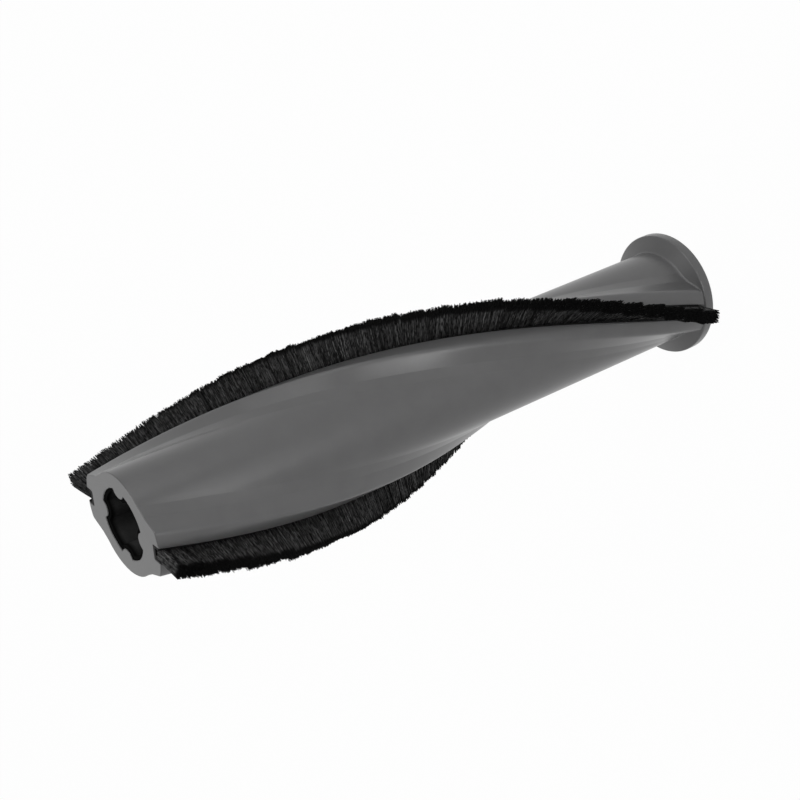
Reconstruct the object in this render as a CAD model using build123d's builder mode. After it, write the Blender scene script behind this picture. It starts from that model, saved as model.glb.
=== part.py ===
import os
from math import atan, cos, degrees, radians, tan

from build123d import *

os.makedirs("parts", exist_ok=True)

# Roller body. The axis is +Z, the flange stands on z = 0 and the drive socket opens at the top.
overall_length = 123.0
core_radius = 9.0
bore_radius = 6.2

# Two helical ribs that make half a turn from end to end. Each stands along X at both ends,
# with a flared foot, straight flanks and corners that two bevels round off. Heights are taken
# down from the rib's outer radius, and angles from the rib's middle line.
rib_count = 2
rib_turn = 180.0
rib_radius = 11.65
rib_top_width = 7.7
rib_flank_angle = 22.0
rib_flank_height = 3.75
rib_foot_angle = 34.0
rib_foot_height = 2.9
rib_corner_angle = 38.0
rib_corner_height = 1.05
rib_edge_angle = 55.0
rib_edge_height = 0.83

# Slot along each rib for a bristle strip
slot_width = 2.8
slot_depth = 1.85
slot_lip = 0.25

# Flange, a little larger than the ribs and thinner at its rim than at the core
flange_stand = 0.35
flange_rim_thickness = 2.0
flange_face_rise = 1.3
flange_edge = 0.25

# Drive socket with four half-round inner ribs
socket_depth = 30.0
socket_rib_count = 4
socket_rib_radius = 1.6
socket_rib_centre = 6.5
liner_thickness = 0.6
liner_recess = 0.3
liner_gap = 0.02

# Bristle strips: a channel-shaped carrier filled with tufts
strip_start = 3.5
carrier_gap = 0.05
carrier_wall = 0.3
carrier_floor = 0.5
tuft_count = 27
tuft_stand = 5.1
tuft_root_width = 1.8
tuft_tip_width = 2.2
tuft_seat_gap = 0.05
tuft_gap = 0.16
tuft_end_gap = 0.3

# Plain bearing in the flange end: a bush in the body, and a sleeve that turns in it
bush_radius = 5.0
bush_length = 7.2
bush_seat_gap = 0.02
web_thickness = 2.0
web_hole_gap = 0.4
sleeve_bore_radius = 2.5
sleeve_radius = 3.5
sleeve_recess = 0.4
sleeve_running_gap = 0.03
sleeve_end_gap = 0.05
collar_radius = 4.0
collar_thickness = 1.0
clip_width = 0.6
clip_radius = 4.2
clip_depth = 0.4
clip_edge = 0.5
clip_end_gap = 0.1
clip_groove_gap = 0.02
clip_opening = 2.0

# Sizes that follow from the ones above
turn_per_mm = rib_turn / overall_length
helix_pitch = overall_length * 360.0 / rib_turn
flange_radius = rib_radius + flange_stand
flange_root_radius = (core_radius + bore_radius) / 2
flange_slope = flange_face_rise / (flange_radius - core_radius)
flange_root_height = flange_rim_thickness + flange_slope * (flange_radius - flange_root_radius)
rib_half_top = rib_top_width / 2
rib_beyond = rib_radius + slot_lip
rib_edge_start = rib_radius - rib_edge_height
rib_corner_start = rib_radius - rib_corner_height
rib_foot_start = rib_radius - rib_flank_height
rib_foot_end = rib_foot_start - rib_foot_height
rib_corner_half = rib_half_top + rib_corner_height * tan(radians(rib_flank_angle))
rib_edge_half = rib_corner_half - (rib_edge_start - rib_corner_start) * tan(radians(rib_corner_angle))
rib_beyond_half = rib_edge_half - (rib_beyond - rib_edge_start) * tan(radians(rib_edge_angle))
rib_foot_half = rib_half_top + rib_flank_height * tan(radians(rib_flank_angle))
rib_inner_half = rib_foot_half + rib_foot_height * tan(radians(rib_foot_angle))
slot_floor_radius = rib_radius - slot_depth
slot_lip_radius = rib_radius - slot_lip
slot_half = slot_width / 2
clip_bottom = sleeve_recess + clip_edge
bush_bottom = clip_bottom + clip_width + clip_end_gap
bush_top = bush_bottom + bush_length
web_top = bush_top + web_thickness
web_hole_radius = collar_radius + web_hole_gap
collar_bottom = bush_top + sleeve_end_gap
collar_top = collar_bottom + collar_thickness
clip_seat_radius = sleeve_radius - clip_depth
strip_length = overall_length - strip_start
carrier_width = slot_width - 2 * carrier_gap
carrier_inside = carrier_width - 2 * carrier_wall
carrier_seat = slot_floor_radius + carrier_floor
tuft_root = carrier_seat + tuft_seat_gap
tuft_tip_radius = rib_radius + tuft_stand
tuft_pitch = (strip_length - tuft_end_gap) / tuft_count
tuft_lean = degrees(atan(rib_radius * radians(turn_per_mm)))
tuft_length = tuft_pitch / cos(radians(tuft_lean)) - tuft_gap

# The line that the twisted shapes follow, and the helix that turns them on the way
with BuildLine() as roller_axis:
    Line((0, 0, 0), (0, 0, overall_length))
with BuildLine() as rib_helix:
    Helix(pitch=helix_pitch, height=overall_length, radius=rib_radius)

with BuildPart() as roller_body:
    # The two ribs, twisted along the axis and then turned to their outer radius
    with BuildSketch() as rib_section:
        with PolarLocations(0, rib_count):
            Polygon(
                (rib_foot_end, -rib_inner_half),
                (rib_foot_start, -rib_foot_half),
                (rib_corner_start, -rib_corner_half),
                (rib_edge_start, -rib_edge_half),
                (rib_beyond, -rib_beyond_half),
                (rib_beyond, rib_beyond_half),
                (rib_edge_start, rib_edge_half),
                (rib_corner_start, rib_corner_half),
                (rib_foot_start, rib_foot_half),
                (rib_foot_end, rib_inner_half),
            )
    sweep(path=roller_axis.line, binormal=rib_helix.line.edge())
    with BuildSketch() as rib_top_section:
        Circle(rib_radius)
    extrude(amount=overall_length, mode=Mode.INTERSECT)

    # Round core
    with BuildSketch() as core_section:
        Circle(core_radius)
    extrude(amount=overall_length)

    # A slot with bevelled lips along the middle of each rib
    with BuildSketch() as slot_section:
        with PolarLocations(0, rib_count):
            Polygon(
                (slot_floor_radius, -slot_half),
                (slot_lip_radius, -slot_half),
                (rib_beyond, -slot_half - 2 * slot_lip),
                (rib_beyond, slot_half + 2 * slot_lip),
                (slot_lip_radius, slot_half),
                (slot_floor_radius, slot_half),
            )
    sweep(path=roller_axis.line, binormal=rib_helix.line.edge(), mode=Mode.SUBTRACT)

    # Flange with a gently coned inner face, which closes the lower end of the slots
    with BuildSketch(Plane.XZ) as flange_section:
        Polygon(
            (0, 0),
            (flange_radius, 0),
            (flange_radius, flange_rim_thickness),
            (flange_root_radius, flange_root_height),
            (0, flange_root_height),
        )
        rim = flange_section.vertices().group_by(Axis.X)[-1]
        chamfer(rim, flange_edge)
    revolve(axis=Axis.Z)

    # Drive socket, the plain bore below it, the hole in the web and the seat of the bush
    with BuildSketch(Plane.XY.offset(overall_length)) as socket_section:
        Circle(bore_radius)
        with PolarLocations(socket_rib_centre, socket_rib_count):
            Circle(socket_rib_radius, mode=Mode.SUBTRACT)
    extrude(amount=-socket_depth, mode=Mode.SUBTRACT)
    with BuildSketch(Plane.XY.offset(web_top)) as bore_section:
        Circle(bore_radius)
    extrude(amount=overall_length - socket_depth - web_top, mode=Mode.SUBTRACT)
    with BuildSketch() as web_hole_section:
        Circle(web_hole_radius)
    extrude(amount=web_top, mode=Mode.SUBTRACT)
    with BuildSketch() as seat_section:
        Circle(bush_radius + bush_seat_gap)
    extrude(amount=bush_top, mode=Mode.SUBTRACT)
roller_body.part.label = "roller_body"
export_step(roller_body.part, "parts/roller_body.step")

with BuildPart() as drive_liner:
    with BuildSketch(Plane.XY.offset(overall_length - socket_depth)) as liner_section:
        Circle(bore_radius - liner_gap)
        with PolarLocations(socket_rib_centre, socket_rib_count):
            Circle(socket_rib_radius + liner_gap, mode=Mode.SUBTRACT)
    extrude(amount=socket_depth - liner_recess)
    with BuildSketch(Plane.XY.offset(overall_length - socket_depth)) as drive_section:
        Circle(bore_radius - liner_gap - liner_thickness)
        with PolarLocations(socket_rib_centre, socket_rib_count):
            Circle(socket_rib_radius + liner_gap + liner_thickness, mode=Mode.SUBTRACT)
    extrude(amount=socket_depth, mode=Mode.SUBTRACT)
drive_liner.part.label = "drive_liner"
export_step(drive_liner.part, "parts/drive_liner.step")

# One carrier per rib: a channel that fills the slot up to its lips
with BuildPart() as strip_carrier_a:
    with BuildSketch() as carrier_section:
        with Locations((slot_floor_radius, 0)):
            Rectangle(
                slot_lip_radius - slot_floor_radius,
                carrier_width,
                align=(Align.MIN, Align.CENTER),
            )
        with Locations((carrier_seat, 0)):
            Rectangle(
                slot_lip_radius - slot_floor_radius,
                carrier_inside,
                align=(Align.MIN, Align.CENTER),
                mode=Mode.SUBTRACT,
            )
    sweep(path=roller_axis.line, binormal=rib_helix.line.edge())
    split(bisect_by=Plane.XY.offset(strip_start), keep=Keep.TOP)
strip_carrier_a.part.label = "strip_carrier_a"
export_step(strip_carrier_a.part, "parts/strip_carrier_a.step")

with BuildPart() as strip_carrier_b:
    with Locations(Location((0, 0, 0), (0, 0, 180))):
        add(strip_carrier_a.part)
strip_carrier_b.part.label = "strip_carrier_b"
export_step(strip_carrier_b.part, "parts/strip_carrier_b.step")

# One straight tuft, wider at its tips, leaning as the helix does
with BuildPart() as tuft:
    with BuildSketch() as tuft_section:
        Polygon(
            (tuft_root, -tuft_root_width / 2),
            (tuft_tip_radius, -tuft_tip_width / 2),
            (tuft_tip_radius, tuft_tip_width / 2),
            (tuft_root, tuft_root_width / 2),
        )
    extrude(amount=tuft_length / 2, both=True)

tuft_heights = [strip_start + tuft_pitch * (i + 0.5) for i in range(tuft_count)]
tuft_spots = [
    Location((0, 0, height), (0, 0, height * turn_per_mm)) * Location((0, 0, 0), (-tuft_lean, 0, 0))
    for height in tuft_heights
]

with BuildPart() as bristles_a:
    with Locations(*tuft_spots):
        add(tuft.part)
bristles_a.part.label = "bristles_a"
export_step(bristles_a.part, "parts/bristles_a.step")

with BuildPart() as bristles_b:
    with Locations(Location((0, 0, 0), (0, 0, 180))):
        add(bristles_a.part)
bristles_b.part.label = "bristles_b"
export_step(bristles_b.part, "parts/bristles_b.step")

# Plain bearing, its round pieces turned around the axis
with BuildPart() as bearing_bush:
    with BuildSketch(Plane.XY.offset(bush_bottom)) as bush_section:
        Circle(bush_radius)
        Circle(sleeve_radius + sleeve_running_gap, mode=Mode.SUBTRACT)
    extrude(amount=bush_length)
bearing_bush.part.label = "bearing_bush"
export_step(bearing_bush.part, "parts/bearing_bush.step")

with BuildPart() as axle_sleeve:
    with BuildSketch(Plane.XZ) as sleeve_section:
        Polygon(
            (sleeve_bore_radius, sleeve_recess),
            (sleeve_radius, sleeve_recess),
            (sleeve_radius, clip_bottom - clip_groove_gap),
            (clip_seat_radius, clip_bottom - clip_groove_gap),
            (clip_seat_radius, clip_bottom + clip_width + clip_groove_gap),
            (sleeve_radius, clip_bottom + clip_width + clip_groove_gap),
            (sleeve_radius, collar_bottom),
            (collar_radius, collar_bottom),
            (collar_radius, collar_top),
            (sleeve_bore_radius, collar_top),
        )
    revolve(axis=Axis.Z)
axle_sleeve.part.label = "axle_sleeve"
export_step(axle_sleeve.part, "parts/axle_sleeve.step")

with BuildPart() as retaining_clip:
    with BuildSketch(Plane.XY.offset(clip_bottom)) as clip_section:
        Circle(clip_radius)
        Circle(clip_seat_radius + clip_groove_gap, mode=Mode.SUBTRACT)
        Rectangle(clip_radius, clip_opening, align=(Align.MIN, Align.CENTER), mode=Mode.SUBTRACT)
    extrude(amount=clip_width)
retaining_clip.part.label = "retaining_clip"
export_step(retaining_clip.part, "parts/retaining_clip.step")
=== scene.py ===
import math

import bpy
import numpy as np
from mathutils import Matrix, Vector


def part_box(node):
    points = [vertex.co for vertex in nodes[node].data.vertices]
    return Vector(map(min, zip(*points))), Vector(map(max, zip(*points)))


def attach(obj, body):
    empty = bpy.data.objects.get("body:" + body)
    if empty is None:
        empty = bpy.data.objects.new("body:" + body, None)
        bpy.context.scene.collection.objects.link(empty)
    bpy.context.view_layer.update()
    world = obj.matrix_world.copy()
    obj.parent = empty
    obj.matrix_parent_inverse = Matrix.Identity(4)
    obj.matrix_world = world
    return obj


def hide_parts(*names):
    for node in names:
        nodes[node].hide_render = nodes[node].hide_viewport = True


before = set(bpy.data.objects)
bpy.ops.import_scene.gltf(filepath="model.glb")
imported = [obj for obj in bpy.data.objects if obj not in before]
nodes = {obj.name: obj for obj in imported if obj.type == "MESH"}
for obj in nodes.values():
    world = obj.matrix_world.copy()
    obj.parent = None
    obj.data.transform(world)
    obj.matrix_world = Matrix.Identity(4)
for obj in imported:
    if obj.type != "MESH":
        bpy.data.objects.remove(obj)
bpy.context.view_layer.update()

scene = bpy.context.scene
scene.view_settings.view_transform = "Standard"

# Sizes of the body, in metres
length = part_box("roller_body")[1][2]
flange_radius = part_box("roller_body")[1][0]
turn_per_metre = math.pi / length
core_radius = 0.009
bore_radius = 0.0062
rib_radius = 0.01165
flank_half_top = 0.00385
flank_height = 0.00375
flank_angle = math.radians(22)
foot_angle = math.radians(34)
slot_half = 0.0014
slot_floor = 0.0098
slot_lip = 0.00025
flange_rim = 0.002
flange_face_rise = 0.0013
flange_face_slope = flange_face_rise / (flange_radius - core_radius)
flange_edge = 0.00025
seat_radius = 0.00502
seat_top = 0.0088
web_hole_radius = 0.0044
web_top = 0.0108
socket_depth = 0.030
socket_floor = length - socket_depth
socket_rib_radius = 0.0016
socket_rib_centre = 0.0065
socket_surround = 0.0070

# Rounded edges that a mould gives
corner_round = 0.0010
crease_round = 0.0005
core_crease_round = 0.0010
slot_round = 0.0001
lip_round = 0.00012
edge_round = 0.00012
flange_fillet = 0.00036
flange_fillet_share = 0.6

# Fineness of the body's skin
arc_points = 5
slot_arc_points = 3
top_points = 9
core_points = 24
section_step = 0.0005
body_rings = 110
socket_crowding = 0.8
sharp_angle = math.radians(32)
tolerance = 0.00001

# Sizes of the bristle strips
strip_start = 0.0035
strip_end_gap = 0.0003
tuft_count = 27
tuft_pitch = (length - strip_start - strip_end_gap) / tuft_count
tuft_root = 0.01035
tuft_tip = 0.01660
tuft_root_width = 0.0019
tuft_tip_width = 0.0022
tuft_lean = math.atan(rib_radius * turn_per_metre)
end_tuft_fan = 0.0008

# Filaments of one tuft: rows across the strip, columns along it, and rings along each filament
strands_across = 14
strands_along = 32
strand_radius = 0.000083
clump_columns = 2
ring_shares = (0.0, 0.5, 1.0)
ring_points = 3

# Unevenness of the filaments: grid jitter in half widths, then lengths in metres and an angle
jitter_across = 0.06
jitter_along = 0.03
clump_spread = 0.00008
reach_spread = 0.0001
splay_across_spread = 0.00007
splay_along_spread = 0.00012
bow_spread = 0.00006
lean_spread = 0.02

# Tones of the filaments, partly random and partly painted glints, their painted shade towards the tip, and
# how fast the noise along and beside them changes
clump_tone_share = 0.35
noise_per_column = 0.8
noise_per_reach = 7.0
noise_range = 40
streak_low = 0.33
streak_high = 0.60
tip_painted_shade_start = 0.86
tip_painted_shade_end = 0.95
dark_tone = 0.004
middle_tone = 0.035
middle_tone_place = 0.2
tone_and_painted_glint = 0.20

# Painted shade: the lining of the socket is painted darker towards its rim, for the shade just inside the
# socket's mouth
rim_painted_shade_start = length - 0.0014
rim_painted_shade_end = length - 0.0006
rim_painted_shade = 0.18

# Studio: the floor's share of plain white, the level of the world's light, and the lamps
floor_size = 6
floor_drop = 0.0002
floor_albedo = 0.9
floor_white_share = 0.98
world_light = 0.2
lamp_distance = 0.7
soft_lamp_size = 0.3
edge_lamp_size = 0.1
strip_distance = 0.35
strip_width = 0.12
strip_height = 0.03
strip_lift = Vector((0, 0, 0.022))
centre = Vector((0, 0, length / 2))

# The camera of the photograph. The roller stands here and lies there, so the camera is rolled
camera_place = Vector((0.19517, 0.14211, 0.21144))
camera_target = Vector((-0.007774, -0.004396, 0.0615))
camera_up = Vector((-0.37561, 0.86385, -0.33568))
camera_lens = 71.7
camera_sensor = 36.0
camera_clip = 0.01


def material(name, colour, spread, scale, roughness, specular=0.5, metallic=0.0):
    """A principled material whose colour is gently mottled by noise."""
    m = bpy.data.materials.new(name)
    m.use_nodes = True
    tree = m.node_tree
    shader = tree.nodes["Principled BSDF"]
    shader.inputs["Roughness"].default_value = roughness
    shader.inputs["Specular IOR Level"].default_value = specular
    shader.inputs["Metallic"].default_value = metallic
    place = tree.nodes.new("ShaderNodeTexCoord")
    noise = tree.nodes.new("ShaderNodeTexNoise")
    noise.inputs["Scale"].default_value = scale
    noise.inputs["Detail"].default_value = 4
    tree.links.new(place.outputs["Object"], noise.inputs["Vector"])
    ramp = tree.nodes.new("ShaderNodeValToRGB")
    low, high = ramp.color_ramp.elements
    low.position = 0.3
    low.color = (*[c * (1 - spread) for c in colour], 1)
    high.position = 0.7
    high.color = (*[c * (1 + spread) for c in colour], 1)
    tree.links.new(noise.outputs["Fac"], ramp.inputs["Fac"])
    tree.links.new(ramp.outputs["Color"], shader.inputs["Base Color"])
    return m


def add_grain(m, scale, strength, depth):
    """Gives a material a fine moulded grain."""
    tree = m.node_tree
    place = tree.nodes.new("ShaderNodeTexCoord")
    grain = tree.nodes.new("ShaderNodeTexNoise")
    grain.inputs["Scale"].default_value = scale
    grain.inputs["Detail"].default_value = 2
    tree.links.new(place.outputs["Object"], grain.inputs["Vector"])
    relief = tree.nodes.new("ShaderNodeBump")
    relief.inputs["Strength"].default_value = strength
    relief.inputs["Distance"].default_value = depth
    tree.links.new(grain.outputs["Fac"], relief.inputs["Height"])
    tree.links.new(relief.outputs["Normal"], tree.nodes["Principled BSDF"].inputs["Normal"])


def scaled(tree, value, low, high, at_low=0.0, at_high=1.0):
    """A value moved from the range low to high to the range at_low to at_high, and kept in it."""
    node = tree.nodes.new("ShaderNodeMapRange")
    node.inputs["From Min"].default_value = low
    node.inputs["From Max"].default_value = high
    node.inputs["To Min"].default_value = at_low
    node.inputs["To Max"].default_value = at_high
    tree.links.new(value, node.inputs["Value"])
    return node.outputs["Result"]


def product(tree, first, second):
    """Two node values multiplied."""
    node = tree.nodes.new("ShaderNodeMath")
    node.operation = "MULTIPLY"
    tree.links.new(first, node.inputs[0])
    tree.links.new(second, node.inputs[1])
    return node.outputs[0]


def paint_shade_upwards(m, start, end, share):
    """Paints shade: lowers a material's colour to a share of itself from one height to another."""
    tree = m.node_tree
    base = tree.nodes["Principled BSDF"].inputs["Base Color"]
    colour = base.links[0].from_socket
    place = tree.nodes.new("ShaderNodeTexCoord")
    parts = tree.nodes.new("ShaderNodeSeparateXYZ")
    tree.links.new(place.outputs["Object"], parts.inputs[0])
    node = tree.nodes.new("ShaderNodeVectorMath")
    node.operation = "SCALE"
    tree.links.new(colour, node.inputs[0])
    tree.links.new(scaled(tree, parts.outputs["Z"], start, end, 1.0, share), node.inputs["Scale"])
    tree.links.new(node.outputs[0], base)


def bristle_material():
    """Black nylon: each filament has its own tone, broken along its length, with light streaks that are
    partly painted glints, and painted shade that darkens it towards its tip.
    """
    m = bpy.data.materials.new("bristle_nylon_painted_glint_and_shade")
    m.use_nodes = True
    tree = m.node_tree
    shader = tree.nodes["Principled BSDF"]
    shader.inputs["Roughness"].default_value = 0.5
    shader.inputs["Specular IOR Level"].default_value = 0.06
    tone = tree.nodes.new("ShaderNodeAttribute")
    tone.attribute_name = "tone"
    weave = tree.nodes.new("ShaderNodeAttribute")
    weave.attribute_name = "weave"
    noise = tree.nodes.new("ShaderNodeTexNoise")
    noise.inputs["Scale"].default_value = 1.0
    noise.inputs["Detail"].default_value = 1
    tree.links.new(weave.outputs["Vector"], noise.inputs["Vector"])
    parts = tree.nodes.new("ShaderNodeSeparateXYZ")
    tree.links.new(weave.outputs["Vector"], parts.inputs[0])
    # Painted shade: the filaments' colour darkens towards their tips
    painted_shade_from = tip_painted_shade_start * noise_per_reach
    painted_shade_to = tip_painted_shade_end * noise_per_reach
    tip_painted_shade = scaled(tree, parts.outputs["Z"], painted_shade_from, painted_shade_to, 1.0, 0.0)
    # The light streaks are partly random tone and partly painted glints on the filaments' sides
    tone_and_glint_streak = product(tree, tone.outputs["Fac"], scaled(tree, noise.outputs["Fac"], streak_low, streak_high))
    ramp = tree.nodes.new("ShaderNodeValToRGB")
    dark, light = ramp.color_ramp.elements
    dark.color = (dark_tone, dark_tone, dark_tone, 1)
    light.color = (tone_and_painted_glint, tone_and_painted_glint, tone_and_painted_glint, 1)
    middle = ramp.color_ramp.elements.new(middle_tone_place)
    middle.color = (middle_tone, middle_tone, middle_tone, 1)
    tree.links.new(product(tree, tone_and_glint_streak, tip_painted_shade), ramp.inputs["Fac"])
    tree.links.new(ramp.outputs["Color"], shader.inputs["Base Color"])
    return m


grey = material("grey_moulding", (0.115, 0.115, 0.116), 0.04, 260, 0.30)
add_grain(grey, 2600, 0.04, 0.0001)
# Black rubber for the socket's lining, which also paints the shade deep in the socket
rubber_and_painted_shade = material("black_rubber", (0.060, 0.060, 0.060), 0.3, 400, 0.6, specular=0.0)
# Painted shade: the rubber is painted darker towards the rim of the socket, where the socket's mouth lies
# in shade
paint_shade_upwards(rubber_and_painted_shade, rim_painted_shade_start, rim_painted_shade_end, rim_painted_shade)
black = material("black_plastic", (0.010, 0.010, 0.010), 0.3, 500, 0.6, specular=0.1)
bronze = material("sintered_bronze", (0.42, 0.26, 0.12), 0.12, 1500, 0.45, metallic=1.0)
steel = material("ground_steel", (0.55, 0.55, 0.57), 0.06, 900, 0.3, metallic=1.0)
nylon = bristle_material()
cut_nylon = material("bristle_tips", (0.0025, 0.0025, 0.0025), 0.5, 9000, 0.9, specular=0.0)


def paint(name, m):
    """Gives one CAD node its material."""
    data = nodes[name].data
    data.materials.clear()
    data.materials.append(m)


paint("roller_body", grey)
paint("drive_liner", rubber_and_painted_shade)
paint("strip_carrier_a", black)
paint("strip_carrier_b", black)
paint("bearing_bush", bronze)
paint("axle_sleeve", steel)
paint("retaining_clip", steel)


def polar(radius, angle):
    """A point of the section, from its radius and its angle in radians."""
    return np.array((radius * math.cos(angle), radius * math.sin(angle)))


def distance_to_circle(start, run, radius, side):
    """How far a line goes to its second (side 1) or first (side -1) crossing of a circle about the axis."""
    nearest = -(start @ run)
    return nearest + side * math.sqrt(nearest**2 - start @ start + radius**2)


def rounded(before, corner, after, radius, count=arc_points):
    """Points of the arc that rounds one corner between two straight runs."""
    back = (before - corner) / np.linalg.norm(before - corner)
    ahead = (after - corner) / np.linalg.norm(after - corner)
    half = math.acos(np.clip(back @ ahead, -1, 1)) / 2
    middle = corner + (back + ahead) / np.linalg.norm(back + ahead) * radius / math.sin(half)
    start = corner + back * radius / math.tan(half) - middle
    end = corner + ahead * radius / math.tan(half) - middle
    sweep = math.acos(np.clip(start @ end / radius**2, -1, 1))
    shares = np.linspace(0, 1, count)[:, None]
    arc = (np.sin((1 - shares) * sweep) * start + np.sin(shares * sweep) * end) / math.sin(sweep)
    return list(middle + arc)


def divided(points, longest):
    """The same run of points, with steps no longer than this."""
    result = [points[0]]
    for first, second in zip(points[:-1], points[1:]):
        count = max(1, math.ceil(np.linalg.norm(second - first) / longest))
        for step in range(1, count + 1):
            result.append(first + (second - first) * step / count)
    return np.array(result)


def quarter_section():
    """The body's outline from the middle of a slot, over half a rib, to the core a quarter turn on."""
    floor_middle = np.array((slot_floor, 0.0))
    floor_corner = np.array((slot_floor, slot_half))
    lip = np.array((rib_radius - slot_lip, slot_half))
    top_start = math.asin((slot_half + slot_lip / 2) / rib_radius)
    foot = np.array((rib_radius - flank_height, flank_half_top + flank_height * math.tan(flank_angle)))
    flank_run = polar(1, -flank_angle)
    corner = foot + flank_run * distance_to_circle(foot, flank_run, rib_radius, 1)
    foot_run = polar(1, math.pi - foot_angle)
    foot_end = foot + foot_run * distance_to_circle(foot, foot_run, core_radius, -1)
    top_angles = np.linspace(top_start, math.atan2(corner[1], corner[0]), top_points)
    core_angles = np.linspace(math.atan2(foot_end[1], foot_end[0]), math.pi / 2, core_points)
    top = [polar(rib_radius, angle) for angle in top_angles]
    core = [polar(core_radius, angle) for angle in core_angles]

    # An arc rounds each corner, in place of the points next to it
    points = [floor_middle]
    points += rounded(floor_middle, floor_corner, lip, slot_round, slot_arc_points)
    points += rounded(floor_corner, lip, top[0], lip_round, slot_arc_points)
    points += rounded(lip, top[0], top[1], slot_round, slot_arc_points)
    points += top[1:-3]
    points += rounded(top[-2], corner, foot, corner_round)
    points += rounded(corner, foot, foot_end, crease_round)
    points += rounded(foot, foot_end, core[1], core_crease_round)
    points += core[3:]
    return divided(points, section_step)


def full_section():
    """The closed outline, with each point's angle on the flange and on the socket."""
    quarter = quarter_section()
    steps = np.linalg.norm(np.diff(quarter, axis=0), axis=1)
    share = np.concatenate([[0], np.cumsum(steps)]) / steps.sum()
    on_socket = math.pi / 2 * share**socket_crowding
    on_flange = np.arctan2(quarter[:, 1], quarter[:, 0])
    top_start = np.argmax(np.linalg.norm(quarter, axis=1) > rib_radius - tolerance)
    on_flange[:top_start] = np.linspace(0, on_flange[top_start], top_start, endpoint=False)
    half = np.concatenate([quarter, quarter[-2:0:-1] * (-1, 1)])
    on_flange = np.concatenate([on_flange, math.pi - on_flange[-2:0:-1]])
    on_socket = np.concatenate([on_socket, math.pi - on_socket[-2:0:-1]])
    return (
        np.concatenate([half, -half]),
        np.concatenate([on_flange, on_flange + math.pi]),
        np.concatenate([on_socket, on_socket + math.pi]),
    )


def curve(first, control, last):
    """Points from first to last that bend towards a control point."""
    shares = np.linspace(0, 1, arc_points)[:, None, None]
    return list((1 - shares) ** 2 * first + 2 * shares * (1 - shares) * control + shares**2 * last)


def ring(radius, angle, height):
    """Points around the axis, one for each angle."""
    radius, angle, height = np.broadcast_arrays(radius, angle, height)
    return np.stack([radius * np.cos(angle), radius * np.sin(angle), height], axis=1)


def flange_face(radius):
    """Height of the flange's coned face at each radius."""
    return flange_rim + flange_face_slope * (flange_radius - radius)


def fillet_size(radius):
    """Size of the fillet on the flange, smaller where a rib comes near the flange's edge."""
    return np.minimum(flange_fillet, flange_fillet_share * (flange_radius - flange_edge - radius))


def side_rings(section, radius, angle):
    """Rings of the outer side, from the open end down to the fillet at the flange."""
    ahead = np.roll(section, -1, axis=0) - np.roll(section, 1, axis=0)
    outward = np.stack([ahead[:, 1], -ahead[:, 0]], axis=1) / np.linalg.norm(ahead, axis=1)[:, None]
    trimmed = section - outward * edge_round
    trimmed_angle = np.arctan2(trimmed[:, 1], trimmed[:, 0])
    rings = [ring(np.linalg.norm(trimmed, axis=1), trimmed_angle + length * turn_per_metre, length)]
    lowest = flange_face(radius) + fillet_size(radius)
    for share in np.linspace(0, 1, body_rings):
        height = (length - edge_round) * (1 - share) + lowest * share
        rings.append(ring(radius, angle + height * turn_per_metre, height))
    return rings


def flange_rings(radius, angle, flange_angle):
    """Rings of the fillet, the coned face, the rounded rim and the edge of the flat lower face."""
    face = flange_face(radius)
    fillet = fillet_size(radius)[:, None]
    root = np.stack([radius, face], axis=1)
    rim_top = np.broadcast_to((flange_radius, flange_rim), root.shape)
    rim_low = np.broadcast_to((flange_radius, 0.0), root.shape)
    upward = np.array((0.0, 1.0))
    outward = np.array((1.0, 0.0))
    down_face = np.array((1.0, -flange_face_slope)) / math.hypot(1, flange_face_slope)
    profile = curve(root + upward * fillet, root, root + down_face * fillet)[1:]
    fillet_rings = len(profile)
    profile += curve(rim_top - down_face * flange_edge, rim_top, rim_top - upward * flange_edge)
    profile += curve(rim_low + upward * flange_edge, rim_low, rim_low - outward * flange_edge)
    rings = []
    for step, spots in enumerate(profile, start=1):
        settled = min(step / fillet_rings, 1)
        turned = angle + (flange_angle - angle) * settled + face * turn_per_metre
        rings.append(ring(spots[:, 0], turned, spots[:, 1]))
    return rings


def socket_radius(angle):
    """The drive socket's radius at each angle: a circle with four half-round inner ribs."""
    beside = (angle + math.pi / 4) % (math.pi / 2) - math.pi / 4
    inside = np.maximum(socket_rib_radius**2 - (socket_rib_centre * np.sin(beside)) ** 2, 0)
    rib = socket_rib_centre * np.cos(beside) - np.sqrt(inside)
    return np.where(inside > 0, np.minimum(rib, bore_radius), bore_radius)


def bore_rings(angle):
    """Rings of the bearing seat, the web and the bore, up to the floor of the socket."""
    spots = (
        (seat_radius, 0),
        (seat_radius, seat_top),
        (web_hole_radius, seat_top),
        (web_hole_radius, web_top),
        (bore_radius, web_top),
        (bore_radius, socket_floor - edge_round),
    )
    return [ring(radius, angle, height) for radius, height in spots]


def socket_rings(angle):
    """Rings of the drive socket, from its floor to the open end. The first two bound its wall."""
    mouth = socket_radius(angle)
    spots = (
        (mouth, socket_floor),
        (mouth, length - edge_round),
        (mouth + edge_round, length),
        (socket_surround, length),
    )
    return [ring(radius, angle, height) for radius, height in spots]


def ring_faces(rings, count):
    """Faces from each ring to the next. The last joins the first, which stands half a turn on."""
    place = np.arange(count)
    faces = []
    for step in range(rings):
        low = step * count
        high = (step + 1) % rings * count
        shift = count // 2 if step == rings - 1 else 0
        a = low + place
        b = low + (place + 1) % count
        c = high + (place + 1 + shift) % count
        d = high + (place + shift) % count
        faces.append(np.stack([a, d, c, b], axis=1))
    return np.concatenate(faces)


def linked(mesh):
    """A new object of the scene that holds this mesh and has its name."""
    obj = bpy.data.objects.new(mesh.name, mesh)
    scene.collection.objects.link(obj)
    return obj


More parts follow.
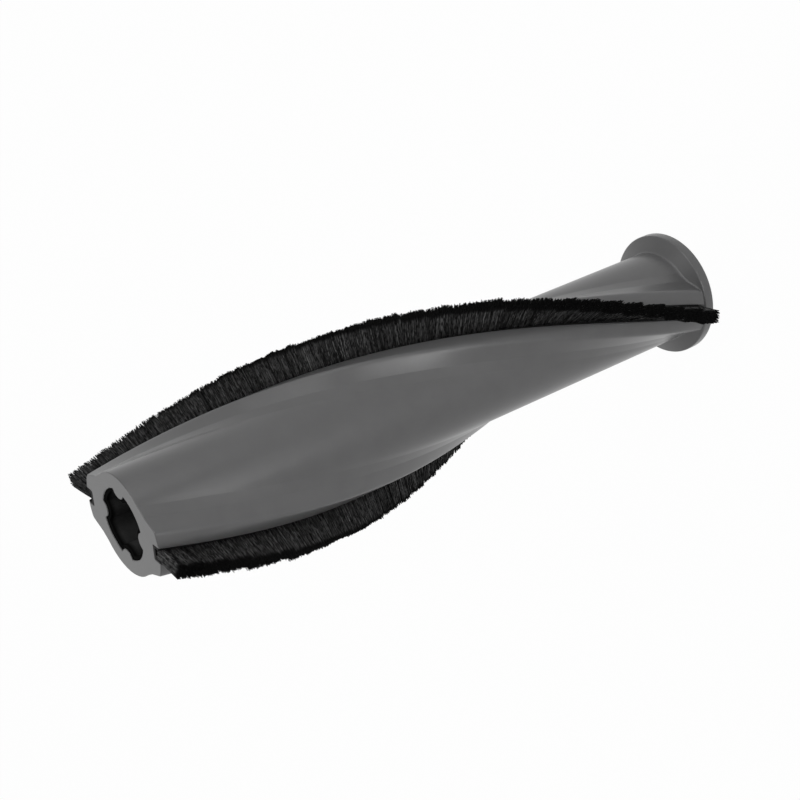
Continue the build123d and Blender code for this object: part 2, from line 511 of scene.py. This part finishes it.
def body_skin():
    """The moulded body as one closed skin, grey all over and black on the wall of its socket, a black
    lining that also paints the shade deep in the socket.
    """
    section, flange_angle, socket_angle = full_section()
    radius = np.linalg.norm(section, axis=1)
    angle = np.arctan2(section[:, 1], section[:, 0]) % (2 * math.pi)
    rings = side_rings(section, radius, angle)
    rings += flange_rings(radius, angle, flange_angle)
    rings += bore_rings(socket_angle)
    wall = len(rings)
    rings += socket_rings(socket_angle)
    faces = ring_faces(len(rings), len(section))
    mesh = bpy.data.meshes.new("body_skin")
    mesh.from_pydata(np.concatenate(rings).tolist(), [], faces.tolist())
    mesh.shade_smooth()
    mesh.set_sharp_from_angle(angle=sharp_angle)
    mesh.materials.append(grey)
    mesh.materials.append(rubber_and_painted_shade)
    on_wall = np.repeat(np.arange(len(rings)) == wall, len(section))
    mesh.polygons.foreach_set("material_index", on_wall.astype(np.int32))
    return linked(mesh)


skin = body_skin()
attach(skin, "roller")
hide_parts("roller_body")


def tuft_strands(rng, height, angle, fan):
    """Points of one tuft's three-sided filaments, with each filament's tone and noise place.

    The tips spread by the fan, sideways and past the end of the body.
    """
    across, along = np.meshgrid(np.linspace(-1, 1, strands_across), np.linspace(-1, 1, strands_along))
    count = across.size
    across = across.ravel() + rng.uniform(-jitter_across, jitter_across, count)
    along = along.ravel() + rng.uniform(-jitter_along, jitter_along, count)
    columns = np.repeat(np.arange(strands_along), strands_across)
    clumps = columns // clump_columns
    clump_reach = rng.normal(0, clump_spread, strands_along)[clumps]
    clump_splay = rng.normal(0, clump_spread, strands_along)[clumps]
    clump_tone = rng.random(strands_along)[clumps]
    run = tuft_pitch / math.cos(tuft_lean)
    lean = tuft_lean + rng.normal(0, lean_spread)
    reach = tuft_tip + clump_reach + rng.normal(0, reach_spread, count) + rng.normal(0, reach_spread)
    splay_across = rng.normal(0, splay_across_spread, count)
    splay_along = clump_splay + rng.normal(0, splay_along_spread, count)
    bow = rng.normal(0, bow_spread, count)
    noise_place = rng.uniform(0, noise_range, count)
    points = []
    weave = []
    for share in ring_shares:
        radius = tuft_root + (reach - tuft_root) * share
        width = tuft_root_width + (tuft_tip_width + fan - tuft_root_width) * share
        sideways = across * width / 2 + splay_across * share
        upward = along * run / 2 + splay_along * share + bow * math.sin(math.pi * share)
        around_axis = sideways * math.cos(lean) + upward * math.sin(lean)
        rise = upward * math.cos(lean) - sideways * math.sin(lean) + fan * share * (along + 1) / 2
        highest = length - strand_radius + fan * share
        for corner in range(ring_points):
            spin = corner * 2 * math.pi / ring_points
            tangent = around_axis + strand_radius * math.cos(spin)
            z = np.minimum(height + rise, highest) + strand_radius * math.sin(spin)
            x = radius * math.cos(angle) - tangent * math.sin(angle)
            y = radius * math.sin(angle) + tangent * math.cos(angle)
            points.append(np.stack([x, y, z], axis=1))
            noise_reach = np.full(count, share * noise_per_reach)
            weave.append(np.stack([columns * noise_per_column, noise_place, noise_reach], axis=1))
    tones = clump_tone_share * clump_tone + (1 - clump_tone_share) * rng.random(count)
    return np.stack(points, axis=1), np.stack(weave, axis=1), tones


def strand_faces(count):
    """Side faces and end faces of this many filaments."""
    per_strand = len(ring_shares) * ring_points
    first = np.arange(count)[:, None, None] * per_strand
    quads = []
    for level in range(len(ring_shares) - 1):
        for corner in range(ring_points):
            low = level * ring_points + corner
            low_next = level * ring_points + (corner + 1) % ring_points
            quads.append([low, low_next, low_next + ring_points, low + ring_points])
    sides = (first + np.array(quads)).reshape(-1, 4)
    tips = first[:, :, 0] + np.arange(per_strand - ring_points, per_strand)
    roots = first[:, :, 0] + np.arange(ring_points)[::-1]
    return sides, np.concatenate([tips, roots])


def bristle_row(name, start_angle, seed, end_fan):
    """One strip's filaments: tufts that lean along the helix, ragged at the tips."""
    rng = np.random.default_rng(seed)
    heights = [strip_start + tuft_pitch * (tuft + 0.5) for tuft in range(tuft_count)]
    tufts = []
    for height in heights:
        fan = end_fan if height == heights[-1] else 0.0
        tufts.append(tuft_strands(rng, height, start_angle + height * turn_per_metre, fan))
    points, weave, tones = (np.concatenate(values) for values in zip(*tufts))
    sides, ends = strand_faces(len(tones))
    mesh = bpy.data.meshes.new(name)
    mesh.from_pydata(points.reshape(-1, 3).tolist(), [], sides.tolist() + ends.tolist())
    is_side = np.arange(len(mesh.polygons)) < len(sides)
    mesh.polygons.foreach_set("use_smooth", is_side)
    mesh.polygons.foreach_set("material_index", np.where(is_side, 0, 1).astype(np.int32))
    tone_layer = mesh.attributes.new("tone", "FLOAT", "POINT")
    tone_layer.data.foreach_set("value", np.repeat(tones, points.shape[1]).astype(np.float32))
    weave_layer = mesh.attributes.new("weave", "FLOAT_VECTOR", "POINT")
    weave_layer.data.foreach_set("vector", weave.ravel().astype(np.float32))
    mesh.materials.append(nylon)
    mesh.materials.append(cut_nylon)
    return linked(mesh)


strands_a = bristle_row("bristle_strands_a", 0.0, 11, end_tuft_fan)
strands_b = bristle_row("bristle_strands_b", math.pi, 12, 0.0)
for strands, node in ((strands_a, "bristles_a"), (strands_b, "bristles_b")):
    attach(strands, "roller")
    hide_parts(node)


def seen_rays(tree):
    """A value that is 1 for rays from the camera, a reflection or a refraction, and 0 for light."""
    path = tree.nodes.new("ShaderNodeLightPath")
    value = path.outputs["Is Camera Ray"]
    for ray in ("Is Glossy Ray", "Is Transmission Ray"):
        either = tree.nodes.new("ShaderNodeMath")
        either.operation = "MAXIMUM"
        tree.links.new(value, either.inputs[0])
        tree.links.new(path.outputs[ray], either.inputs[1])
        value = either.outputs[0]
    return value


def mixed(tree, share, first, second, output):
    """Sends a mix of two shaders to the output node."""
    mix = tree.nodes.new("ShaderNodeMixShader")
    tree.links.new(share, mix.inputs["Fac"])
    tree.links.new(first.outputs[0], mix.inputs[1])
    tree.links.new(second.outputs[0], mix.inputs[2])
    tree.links.new(mix.outputs[0], tree.nodes[output].inputs["Surface"])


def white_floor():
    """A pale plane that stays white in the picture and keeps a soft shadow."""
    bpy.ops.mesh.primitive_plane_add(size=floor_size, location=(0, 0, -floor_drop))
    obj = bpy.context.object
    obj.name = "floor"
    m = bpy.data.materials.new("floor_white")
    m.use_nodes = True
    tree = m.node_tree
    diffuse = tree.nodes["Principled BSDF"]
    diffuse.inputs["Base Color"].default_value = (floor_albedo, floor_albedo, floor_albedo, 1)
    diffuse.inputs["Roughness"].default_value = 0.9
    glow = tree.nodes.new("ShaderNodeEmission")
    share = tree.nodes.new("ShaderNodeMath")
    share.operation = "MULTIPLY"
    share.inputs[1].default_value = floor_white_share
    tree.links.new(seen_rays(tree), share.inputs[0])
    mixed(tree, share.outputs[0], diffuse, glow, "Material Output")
    obj.data.materials.append(m)
    return obj


def white_world():
    """A world that is white where it is seen and softer as light."""
    world = bpy.data.worlds.new("studio")
    world.use_nodes = True
    tree = world.node_tree
    light = tree.nodes["Background"]
    light.inputs["Color"].default_value = (1, 1, 1, 1)
    light.inputs["Strength"].default_value = world_light
    white = tree.nodes.new("ShaderNodeBackground")
    white.inputs["Color"].default_value = (1, 1, 1, 1)
    mixed(tree, seen_rays(tree), light, white, "World Output")
    return world


floor = white_floor()
scene.world = white_world()


def around(azimuth, elevation, distance):
    """The point at this bearing and height angle, in degrees, from the origin."""
    turn = math.radians(azimuth)
    rise = math.radians(elevation)
    flat = distance * math.cos(rise)
    return Vector((flat * math.cos(turn), flat * math.sin(turn), distance * math.sin(rise)))


def lamp(name, place, width, height, power):
    """An area lamp that looks at the middle of the part and stays out of the picture itself."""
    data = bpy.data.lights.new(name, "AREA")
    data.shape = "RECTANGLE"
    data.size = width
    data.size_y = height
    data.energy = power
    obj = bpy.data.objects.new(name, data)
    obj.location = place
    obj.rotation_euler = (centre - place).to_track_quat("-Z", "Y").to_euler()
    obj.visible_camera = False
    scene.collection.objects.link(obj)


# Two soft lamps and two small ones above, and low strips whose glint runs along the ribs
for name, bearing, elevation, size, power in (
    ("key", 90, 55, soft_lamp_size, 0.77),
    ("fill", 225, 55, soft_lamp_size, 0.5),
    ("edge", 88, 32, edge_lamp_size, 0.15),
    ("edge_side", 28, 35, edge_lamp_size, 0.15),
):
    lamp(name, centre + around(bearing, elevation, lamp_distance), size, size, power)
for bearing, power in ((-40, 0.035), (0, 0.015), (20, 0.17), (40, 0.075), (80, 0.035), (100, 0.02)):
    place = strip_lift + around(bearing, 0, strip_distance)
    lamp("strip_%d" % bearing, place, strip_width, strip_height, power)

camera_data = bpy.data.cameras.new("camera")
camera_data.lens = camera_lens
camera_data.sensor_width = camera_sensor
camera_data.clip_start = camera_clip
camera = bpy.data.objects.new("camera", camera_data)
back = (camera_place - camera_target).normalized()
right = camera_up.cross(back).normalized()
turn = Matrix((right, back.cross(right), back)).transposed().to_4x4()
camera.matrix_world = Matrix.Translation(camera_place) @ turn
scene.collection.objects.link(camera)
scene.camera = camera
